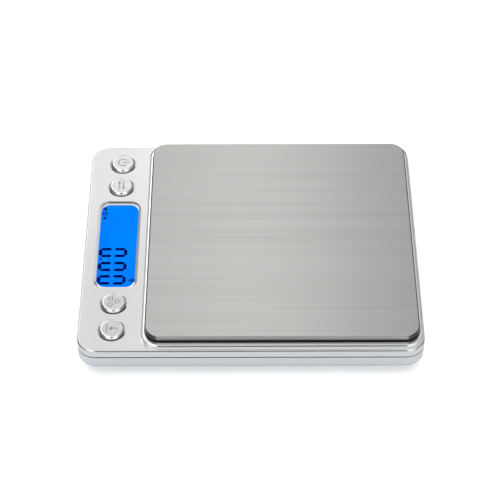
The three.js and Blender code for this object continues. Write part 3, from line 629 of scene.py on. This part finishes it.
def make_lower_case():
    """The lower shell, with a lip that locates the upper case, the battery bay and the holes in its base."""
    wall_top = rounded_top(PARTING_LOW_Z, HALF_X, HALF_Y, CORNER, SEAM_EDGE, 3)
    case = loft("lower_case_shell", undercut_sections() + wall_top)
    lip = loft("lip", [shell_section(9, LIP_INSET), shell_section(LIP_TOP_Z, LIP_INSET)])
    join(case, lip)
    hollow = [shell_section(FLOOR_Z, 6.5, 3), shell_section(HOLLOW_UPRIGHT_Z, WALL), shell_section(15, WALL)]
    cut(case, loft("hollow", hollow))
    bay = around_bay(BAY_HALF_X + BAY_WALL, BAY_HALF_Y + BAY_WALL)
    pad = around_bay(COVER_HALF_X + PAD_REACH, COVER_HALF_Y + PAD_REACH)
    join(case, block("bay", *bay, BASE_Z, BAY_TOP_Z), block("pad", *pad, BASE_Z, PAD_TOP_Z))
    cut(case, *bay_cutters(), *base_hole_cutters())
    settle(case, "housing", SILVER, "silver_casing", "lower_case")


COVER_EDGE = 0.2
LATCH_HALF = 3
LATCH_TOP_Z = 4.9
TONGUE_HALF = 2
TONGUE_TOP_Z = 5.2
HOOK_LOW_Z = PAD_TOP_Z + 0.2
SLIT_REACH = 5
SLIT_HALF = 0.3
GRIP_COUNT = 4
GRIP_PITCH = 1.5


def cover_hooks():
    """The cover's latch at its back edge and its two tongues at the front."""
    edge = COVER_HALF_Y
    root_z = COVER_TOP_Z - 0.4
    latch = (BAY_X - LATCH_HALF, BAY_X + LATCH_HALF)
    hooks = [
        block("latch", *latch, edge - 1.25, edge - 0.25, root_z, LATCH_TOP_Z),
        block("latch_hook", *latch, edge - 0.5, edge + 0.75, HOOK_LOW_Z, LATCH_TOP_Z),
    ]
    for x in TONGUE_XS:
        tongue = (x - TONGUE_HALF, x + TONGUE_HALF)
        hooks.append(block("tongue", *tongue, 0.25 - edge, 1.65 - edge, root_z, TONGUE_TOP_Z))
        hooks.append(block("tongue_hook", *tongue, -2.1 - edge, 0.5 - edge, HOOK_LOW_Z, TONGUE_TOP_Z))
    return hooks


def make_battery_cover():
    """A flat cover with thumb grips, between two slits that let its latch flex."""
    edge = COVER_HALF_Y
    sections = [
        (BASE_Z, COVER_HALF_X - COVER_EDGE, edge - COVER_EDGE, COVER_CORNER - COVER_EDGE),
        (BASE_Z + COVER_EDGE, COVER_HALF_X, edge, COVER_CORNER),
        (COVER_TOP_Z, COVER_HALF_X, edge, COVER_CORNER),
    ]
    cover = loft("battery_cover_panel", sections, x=BAY_X)
    join(cover, *cover_hooks())
    slits = []
    for x in (BAY_X - SLIT_REACH, BAY_X + SLIT_REACH):
        slits.append(block("slit", x - SLIT_HALF, x + SLIT_HALF, edge - 9, edge + 1, 0, 4))
    grip = [(0, 3.6, 0.75, 0.35), (BASE_Z, 3.6, 0.45, 0.35), (BASE_Z + 0.4, 3.4, 0.2, 0.15)]
    grips = [loft("grip", grip, BAY_X, edge - 2.2 - GRIP_PITCH * i, 4) for i in range(GRIP_COUNT)]
    cut(cover, *slits, *grips)
    settle(cover, "battery_cover", SILVER, "silver_casing", "battery_cover")


make_upper_case()
make_lower_case()
make_battery_cover()

# ---------------------------------------------------------------- weighing pan

PAN_CORNER = 5.4
PAN_EDGE = 0.45
PAN_INNER_EDGE = 0.2
RIM_CHAMFER = 0.12
SHEET = 0.5


def make_pan():
    """A pressed sheet with its edges bent down."""
    foot = PAN_HALF - RIM_CHAMFER
    rim = [
        (RIM_Z, foot, foot, PAN_CORNER - RIM_CHAMFER),
        (RIM_Z + RIM_CHAMFER, PAN_HALF, PAN_HALF, PAN_CORNER),
    ]
    top = rounded_top(PAN_TOP_Z, PAN_HALF, PAN_HALF, PAN_CORNER, PAN_EDGE, 7)
    pan = loft("weighing_pan_sheet", rim + top, x=PAN_X)
    inner = PAN_HALF - SHEET
    corner = PAN_CORNER - SHEET
    under = [(RIM_Z - 1, inner, inner, corner)]
    under += rounded_top(PAN_TOP_Z - SHEET, inner, inner, corner, PAN_INNER_EDGE)
    cut(pan, loft("pan_inside", under, x=PAN_X))
    settle(pan, "platform", STEEL, "brushed_steel_pan", "weighing_pan")


# Painted shade: a black ring under the pan's rim darkens the gap, on top of the support's own black plastic.
GAP_SHADE_EDGE = (50.2, 49.9, PAN_CORNER)
GAP_SHADE_EDGE_INSIDE = (49.3, 49.3, 4.7)


def make_gap_shade_edge():
    """A black ring just under the pan's rim: partly the support's own black plastic, partly painted shade
    that darkens the gap round the pan.
    """
    edge = loft("pan_support_gap_shade", [(RIM_Z - 0.8, *GAP_SHADE_EDGE), (RIM_Z - 0.05, *GAP_SHADE_EDGE)], x=PAN_X)
    cut(edge, loft("inside", [(RIM_Z - 2, *GAP_SHADE_EDGE_INSIDE), (RIM_Z + 1, *GAP_SHADE_EDGE_INSIDE)], x=PAN_X))
    settle(edge, "platform", BLACK, "black_plastic")


make_pan()
make_gap_shade_edge()

# ---------------------------------------------------------------- keys and their marks

STROKE = 0.36
MARK_DEPTH = 0.03


def ribbon(name, path, width, z, closed=False):
    """A flat raised line of the given width along a path of (x, y) points."""
    count = len(path)
    half = width / 2
    left, right = [], []
    for i, (x, y) in enumerate(path):
        before = path[(i - 1) % count] if closed or i else path[i]
        after = path[(i + 1) % count] if closed or i < count - 1 else path[i]
        along = Vector((after[0] - before[0], after[1] - before[1])).normalized()
        left.append((x - along.y * half, y + along.x * half))
        right.append((x + along.y * half, y - along.x * half))
    faces = []
    points = [(x, y, z) for x, y in left + right]
    for i in range(count if closed else count - 1):
        j = (i + 1) % count
        faces.append((i, count + i, count + j, j))
    return slab(name, points, faces)


def slab(name, points, faces):
    """Gives flat faces a small thickness downwards."""
    piece = add_mesh(name, points, faces)
    thick = piece.modifiers.new("thickness", "SOLIDIFY")
    thick.thickness = MARK_DEPTH * MM
    thick.offset = 0
    return piece


def polygon(name, outline, z):
    return slab(name, [(x, y, z) for x, y in outline], [tuple(range(len(outline)))])


def gather(name, pieces):
    """Makes several flat marks one mesh."""
    points, faces = [], []
    for piece in pieces:
        start = len(points)
        points += [v.co / MM for v in piece.data.vertices]
        faces += [tuple(start + i for i in face.vertices) for face in piece.data.polygons]
        bpy.data.objects.remove(piece)
    return slab(name, points, faces)


def from_reader(x, y, centre_y):
    """A point of a mark as its reader sees it, at the display end: right is -Y and up is +X."""
    return DISPLAY_X + y, centre_y - x


def mark_line(path, centre_y, z, width=STROKE, closed=False):
    return ribbon("stroke", [from_reader(x, y, centre_y) for x, y in path], width, z, closed)


def mark_shape(outline, centre_y, z):
    points = [from_reader(x, y, centre_y) for x, y in outline]
    return polygon("shape", points[::-1], z)


def power_mark(cy, z):
    """A ring broken by a line."""
    ring = arc_points(0, 0, 1.75, radians(128), radians(412), 28)
    return [mark_line(ring, cy, z), mark_line([(0, 0), (0, 2.9)], cy, z)]


def unit_mark(cy, z):
    """Two arrows that swap places."""
    marks = []
    for side in (1, -1):
        marks.append(mark_line([(-2.1 * side, 0.85 * side), (1.2 * side, 0.85 * side)], cy, z))
        head = [(2.1 * side, 0.85 * side), (1.1 * side, 1.5 * side), (1.1 * side, 0.2 * side)]
        marks.append(mark_shape(head, cy, z))
    return marks


def count_mark(cy, z):
    """Three small pieces."""
    half = 0.72
    marks = []
    for x, y in ((-1.4, -1.1), (1.4, -1.1), (0, 1.3)):
        square = [(x - half, y - half), (x + half, y - half), (x + half, y + half), (x - half, y + half)]
        marks.append(mark_line(square, cy, z, closed=True))
    return marks


def tare_mark(cy, z):
    """An arrow down onto a line."""
    return [
        mark_line([(-1.9, -1.8), (1.9, -1.8)], cy, z),
        mark_line([(0, 2.1), (0, 0.1)], cy, z),
        mark_shape([(-0.9, 0.2), (0, -1.2), (0.9, 0.2)], cy, z),
    ]


KEY_MARKS = {"power": power_mark, "unit": unit_mark, "count": count_mark, "tare": tare_mark}
# (inset, drop) pairs, from the key's side up to its flat top.
KEY_PROFILE = ((0, 0.9), (0.03, 0.76), (0.1, 0.64), (0.5, 0.22), (0.64, 0.1), (0.8, 0.03), (1, 0))


def make_key(name):
    node = f"{name}_button"
    x, y = middle(node)
    foot_z = cad_mm(node)[0].z
    flange_z = foot_z + KEY_FLANGE
    profile = [(KEY_FLANGE_RADIUS, foot_z), (KEY_FLANGE_RADIUS, flange_z), (KEY_RADIUS, flange_z + 0.01)]
    profile += [(KEY_RADIUS - inset, KEY_TOP_Z - drop) for inset, drop in KEY_PROFILE]
    key = turn(f"{name}_key_cap", profile, x, y, 72)
    settle(key, f"{name}_key", CHROME, "chrome_keys", node)
    mark = gather(f"{name}_key_mark", KEY_MARKS[name](y, KEY_TOP_Z - MARK_DEPTH * 0.3))
    settle(mark, f"{name}_key", ICON_INK, "black_plastic")


for key_name in KEYS:
    make_key(key_name)

# ---------------------------------------------------------------- display

SEGMENT_Z = lcd_high.z + 0.05
DIGIT_WIDTH = 4.75
DIGIT_HEIGHT = 10.8
DIGIT_STROKE = 1.25
DIGIT_GAP = 0.1
DIGIT_BREAK = 0.5
DIGIT_LOW = -7.1
DIGIT_LEFTS = (0.45, 7.6, 14.35)
POINT_LEFT = 5.75
POINT_LOW = DIGIT_LOW + 0.4
POINT_SIZE = 0.8
LENS_OUTLINE = (8.9, 23.2, 1.8)


def segment(x0, y0, x1, y1, width):
    """One bar of a seven-segment digit, with pointed ends."""
    along = Vector((x1 - x0, y1 - y0)).normalized()
    across = Vector((-along.y, along.x)) * width / 2
    start, stop = Vector((x0, y0)), Vector((x1, y1))
    inset = along * width / 2
    one_side = [start, start + inset + across, stop - inset + across]
    other_side = [stop, stop - inset - across, start + inset - across]
    return [(p.x, p.y) for p in one_side + other_side]


def digit_zero(left, low):
    """The six outer bars of a zero, whose lower left corner is (left, low) as it is read."""
    w = DIGIT_WIDTH - DIGIT_STROKE
    h = DIGIT_HEIGHT - DIGIT_STROKE
    x, y = left + DIGIT_STROKE / 2, low + DIGIT_STROKE / 2
    g = DIGIT_GAP
    bars = [segment(x + g, y + rise, x + w - g, y + rise, DIGIT_STROKE) for rise in (0, h)]
    for side in (x, x + w):
        bars.append(segment(side, y + g, side, y + h / 2 - DIGIT_BREAK, DIGIT_STROKE))
        bars.append(segment(side, y + h / 2 + DIGIT_BREAK, side, y + h - g, DIGIT_STROKE))
    return bars


def make_display():
    lens = loft("window_lens_sheet", [(lens_low.z, *LENS_OUTLINE), (lens_high.z, *LENS_OUTLINE)], x=DISPLAY_X)
    settle(lens, "housing", LENS, "clear_lens", "window_lens")

    marks = []
    for left in DIGIT_LEFTS:
        for bar in digit_zero(left, DIGIT_LOW):
            marks.append(mark_shape(bar, 0, SEGMENT_Z))
    right, low, high = POINT_LEFT + POINT_SIZE, POINT_LOW, POINT_LOW + POINT_SIZE
    point = [(POINT_LEFT, low), (right, low), (right, high), (POINT_LEFT, high)]
    marks.append(mark_shape(point, 0, SEGMENT_Z))
    marks += gram_sign(16.1, 4.9)
    marks += zero_sign(-20.6, -7.0)
    digits = gather("display_reading", marks)
    settle(digits, "housing", SEGMENT, "blue_display")


def gram_sign(x, y):
    bowl = arc_points(x + 0.7, y + 1.45, 0.55, 0, 2 * pi * 23 / 24, 23)
    tail = [(x + 1.35, y + 2.1), (x + 1.35, y + 0.45), (x + 1.0, y + 0.12), (x + 0.25, y + 0.15)]
    return [mark_line(bowl, 0, SEGMENT_Z, 0.4, True), mark_line(tail, 0, SEGMENT_Z, 0.4)]


def zero_sign(x, y):
    """A nought between two pointers, which shows that the reading is at rest on zero."""
    ring = [(0.65 * cos(a), 0.95 * sin(a)) for a in [2 * pi * i / 24 for i in range(24)]]
    nought = mark_line([(x + 2.9 + px, y + 1.1 + py) for px, py in ring], 0, SEGMENT_Z, 0.45, True)
    left = mark_shape([(x, y + 0.2), (x + 1.5, y + 1.1), (x, y + 2)], 0, SEGMENT_Z)
    right = mark_shape([(x + 5.8, y + 0.2), (x + 5.8, y + 2), (x + 4.3, y + 1.1)], 0, SEGMENT_Z)
    return [nought, left, right]


make_display()

# ---------------------------------------------------------------- feet and screws


# (inset, rise) pairs, from the foot's flat sole up to its side.
FOOT_EDGE = ((0.55, 0), (0.3, 0.07), (0.1, 0.23), (0, 0.4))


def make_foot(corner):
    node = f"foot_{corner}"
    low, high = cad_mm(node)
    radius = (high.x - low.x) / 2
    profile = [(radius - inset, low.z + rise) for inset, rise in FOOT_EDGE]
    profile += [(radius, high.z)]
    foot = turn(f"foot_{corner}_pad", profile, *middle(node))
    settle(foot, "housing", RUBBER, "rubber", node)


def make_screw(node, body="housing"):
    """A pan-head screw, tip up, with a cross recess in its head."""
    low, high = cad_mm(node)
    x, y = middle(node)
    head = (high.x - low.x) / 2
    core = head * 0.5
    seat = low.z + head * 0.58
    dome = [(head * 0.55, low.z), (head * 0.78, low.z + 0.12), (head * 0.94, low.z + 0.4), (head, seat - 0.3)]
    profile = dome + [(head, seat), (core, seat + 0.01)]
    pitch = 0.55
    z = seat + 0.3
    while z + pitch < high.z - 0.5:
        profile += [(core * 0.8, z), (core, z + pitch * 0.4), (core * 0.8, z + pitch * 0.8)]
        z += pitch
    profile.append((core * 0.25, high.z))
    screw = turn(f"{node}_turned", profile, x, y, 32)
    slot_depth = 0.8
    arm, width = head * 0.62, head * 0.13
    across = block("cross_a", x - arm, x + arm, y - width, y + width, low.z - 1, low.z + slot_depth)
    along = block("cross_b", x - width, x + width, y - arm, y + arm, low.z - 1, low.z + slot_depth)
    cut(screw, across, along)
    settle(screw, body, ZINC, "zinc_screws", node)


for corner_name in CASE_CORNERS:
    make_foot(corner_name)
    make_screw(f"case_screw_{corner_name}")
for number in (1, 2):
    make_screw(f"load_cell_fixed_screw_{number}")

# ---------------------------------------------------------------- CAD nodes kept as they are

KEPT = {
    "pan_support": BLACK,
    "pan_tape_left": TAPE,
    "pan_tape_right": TAPE,
    "load_cell": ALUMINIUM,
    "load_cell_base_spacer": ALUMINIUM,
    "load_cell_top_spacer": ALUMINIUM,
    "gauge_coating_top": SILICONE,
    "gauge_coating_bottom": SILICONE,
    "load_cell_free_screw_1": ZINC,
    "load_cell_free_screw_2": ZINC,
    "overload_stop_screw": ZINC,
    "load_cell_cable": GREY,
    "lcd_panel": DISPLAY,
    "lcd_backlight": GUIDE,
    "lcd_connector_left": BLACK,
    "lcd_connector_right": BLACK,
    "circuit_board": BOARD,
    "controller_chip": BLACK,
    "crystal": NICKEL,
    "filter_capacitor": ALUMINIUM,
    "board_screw_front": ZINC,
    "board_screw_back": ZINC,
    "cell_left": SLEEVE,
    "cell_right": SLEEVE,
    "contact_bridge": NICKEL,
    "contact_positive": NICKEL,
    "contact_negative": NICKEL,
    "contact_spring_bridge": NICKEL,
    "contact_spring_negative": NICKEL,
    "battery_lead_positive": RED,
    "battery_lead_negative": BLACK,
}
for key_name in KEYS:
    KEPT[f"{key_name}_switch"] = NICKEL
    KEPT[f"{key_name}_switch_plunger"] = BLACK

for node_name, node_material in KEPT.items():
    kept_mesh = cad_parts[node_name].data
    kept_mesh.materials.clear()
    kept_mesh.materials.append(node_material)

# ---------------------------------------------------------------- studio

FLOOR_HALF = 1100


def add_floor():
    """A large pale sheet under the feet, which looks greyer in reflections than it does directly."""
    floor = block("floor", -FLOOR_HALF, FLOOR_HALF, -FLOOR_HALF, FLOOR_HALF, -2, 0)
    look = Look("paper_floor", (0.92, 0.92, 0.925), 0.8)
    fibre = look.noise(40, 3.0)
    paper = look.color_between(fibre, (0.9, 0.9, 0.905), (0.92, 0.92, 0.925))
    sight = look.add("ShaderNodeLightPath")
    tint = look.color_between(sight.outputs["Is Glossy Ray"], (1, 1, 1), (0.57, 0.6, 0.615), 0, 1)
    tone = look.add("ShaderNodeMix", data_type="RGBA", blend_type="MULTIPLY")
    tone.inputs["Factor"].default_value = 1.0
    look.link(paper, tone.inputs["A"])
    look.link(tint, tone.inputs["B"])
    look.link(tone.outputs["Result"], look.shader.inputs["Base Color"])
    look.link(paper, look.shader.inputs["Emission Color"])
    glow = look.spread(sight.outputs["Is Camera Ray"], 0, 1, 0.0, 0.27)
    look.link(glow, look.shader.inputs["Emission Strength"])
    floor.data.materials.append(look.material)


def add_softbox(name, location, size, power, color=(1, 1, 1)):
    """A soft square light, aimed at the scale. It doesn't show in reflections: the tent does."""
    data = bpy.data.lights.new(name, "AREA")
    data.size = size
    data.energy = power
    data.color = color
    light = bpy.data.objects.new(name, data)
    light.location = location
    light.rotation_euler = (-Vector(location)).to_track_quat("-Z", "Y").to_euler()
    light.visible_glossy = False
    bpy.context.scene.collection.objects.link(light)


class Tent:
    """The world: what the shiny surfaces see, by direction."""

    def __init__(self):
        self.world = bpy.data.worlds.new("tent")
        self.world.use_nodes = True
        self.tree = self.world.node_tree
        self.background = self.tree.nodes["Background"]
        place = self.tree.nodes.new("ShaderNodeTexCoord")
        self.split = self.tree.nodes.new("ShaderNodeSeparateXYZ")
        self.tree.links.new(place.outputs["Generated"], self.split.inputs["Vector"])
        bpy.context.scene.world = self.world

    def ramp(self, axis, stops):
        """Brightness along one axis of the direction, from (-1..1, level) stops."""
        half = self.tree.nodes.new("ShaderNodeMath")
        half.operation = "MULTIPLY_ADD"
        half.inputs[1].default_value = 0.5
        half.inputs[2].default_value = 0.5
        self.tree.links.new(self.split.outputs[axis], half.inputs[0])
        node = self.tree.nodes.new("ShaderNodeValToRGB")
        elements = node.color_ramp.elements
        while len(elements) < len(stops):
            elements.new(0.5)
        for element, (position, level) in zip(elements, stops):
            element.position = position / 2 + 0.5
            element.color = (level, level, level, 1)
        self.tree.links.new(half.outputs["Value"], node.inputs["Fac"])
        return node.outputs["Color"]

    def mix(self, factor, first, second, blend="MIX"):
        node = self.tree.nodes.new("ShaderNodeMix")
        node.data_type = "RGBA"
        node.blend_type = blend
        for socket, value in (("Factor", factor), ("A", first), ("B", second)):
            if isinstance(value, bpy.types.NodeSocket):
                self.tree.links.new(value, node.inputs[socket])
            else:
                node.inputs[socket].default_value = value
        return node.outputs["Result"]


def add_world():
    """A pale tent with a dark horizon, a dark gap in its front, and its brightest panels at the back."""
    tent = Tent()
    behind = tent.ramp("Z", [
        (-1, 0.6), (-0.01, 0.6), (0.01, 0.06), (0.21, 0.08), (0.33, 0.75), (0.43, 0.97),
        (0.56, 1.05), (0.71, 1), (0.735, 0.82), (0.85, 0.78), (1, 0.8),
    ])
    across = tent.ramp("X", [
        (-1, 0.5), (-0.85, 0.35), (-0.6, 0.75), (-0.42, 1.8), (-0.2, 1.8), (-0.1, 0.79),
        (-0.07, 0.79), (-0.056, 0.98), (0, 1.42), (0.02, 1.4), (0.05, 0.92), (0.095, 0.6),
        (0.2, 0.6), (0.6, 0.75), (0.85, 0.35), (1, 0.5),
    ])
    ahead = tent.ramp("Z", [
        (-1, 0.6), (-0.01, 0.6), (0.01, 0.06), (0.21, 0.08), (0.33, 0.75), (0.42, 1), (0.9, 1), (1, 0.8),
    ])
    sides = tent.ramp("X", [
        (-1, 0.5), (-0.85, 0.25), (-0.75, 0.35), (-0.6, 1), (0.6, 1), (0.75, 0.35), (0.85, 0.25), (1, 0.5),
    ])
    gap_width = tent.ramp("X", [(-1, 0), (-0.17, 0), (-0.11, 1), (0.11, 1), (0.17, 0), (1, 0)])
    gap_height = tent.ramp("Z", [(-1, 0), (0.48, 0), (0.59, 1), (0.82, 1), (0.9, 0), (1, 0)])
    turn_back = tent.ramp("Y", [(-1, 0), (-0.1, 0), (0.15, 1), (1, 1)])
    back = tent.mix(1.0, behind, across, "MULTIPLY")
    gap = tent.mix(1.0, gap_width, gap_height, "MULTIPLY")
    front = tent.mix(gap, tent.mix(1.0, ahead, sides, "MULTIPLY"), (0.06, 0.06, 0.06, 1))
    sky = tent.mix(turn_back, front, back)
    sight = tent.tree.nodes.new("ShaderNodeLightPath")
    seen = tent.mix(sight.outputs["Is Camera Ray"], sky, (1, 1, 1, 1))
    tent.tree.links.new(seen, tent.background.inputs["Color"])


add_floor()
add_world()
add_softbox("overhead", (0, 0.1, 1.3), 1.5, 11)
add_softbox("front_fill", (0, -1.2, 0.5), 1.0, 8, (0.9, 0.97, 1))
bpy.context.scene.view_settings.view_transform = "Standard"

# ---------------------------------------------------------------- last update

bpy.context.view_layer.update()
